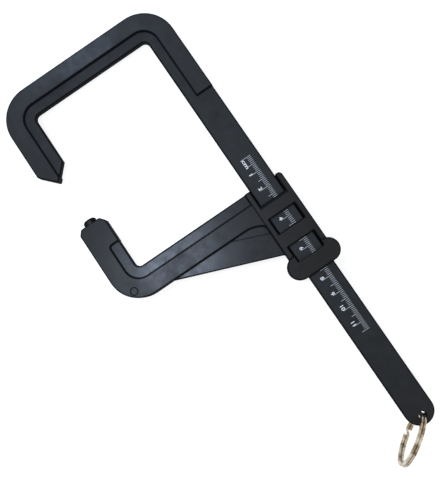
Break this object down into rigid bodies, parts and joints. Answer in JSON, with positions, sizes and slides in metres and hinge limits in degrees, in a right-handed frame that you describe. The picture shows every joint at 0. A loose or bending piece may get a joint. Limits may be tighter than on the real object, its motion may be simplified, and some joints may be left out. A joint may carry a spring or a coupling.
{
  "type": "insulating glass caliper",
  "caption": "Plastic sliding caliper with a deep C-shaped fixed jaw, an L-shaped moving jaw on a printed beam, and a split ring.",
  "frame": {"origin": "the beam's back face, at the scale's zero, on the beam's centre line", "axes": "+X along the beam towards the split ring, -Y from the beam towards the jaws' tips, +Z out of the face with the printed scale"},
  "size_m": [0.2922, 0.1188, 0.031],
  "materials": {
    "beam_plastic": "satin moulded",
    "slider_plastic": "satin moulded",
    "scale_print": "flat ink",
    "ring_metal": "polished"
  },
  "bodies": {
    "beam": {"beam_with_fixed_jaw": "beam_plastic", "scale_graduations": "scale_print"},
    "slider": {"slider_with_moving_jaw": "slider_plastic"},
    "ring": {"split_ring": "ring_metal"}
  },
  "joints": [
    {"name": "slider_slide", "type": "slide", "parent": "beam", "child": "slider", "axis": [1, 0, 0], "range_m": [-0.0271, 0.0878]},
    {"name": "ring_swing", "type": "hinge", "parent": "beam", "child": "ring", "pos_m": [0.169, 0, 0.0025], "axis": [0, 0, 1], "range_deg": [-67, 173]}
  ]
}
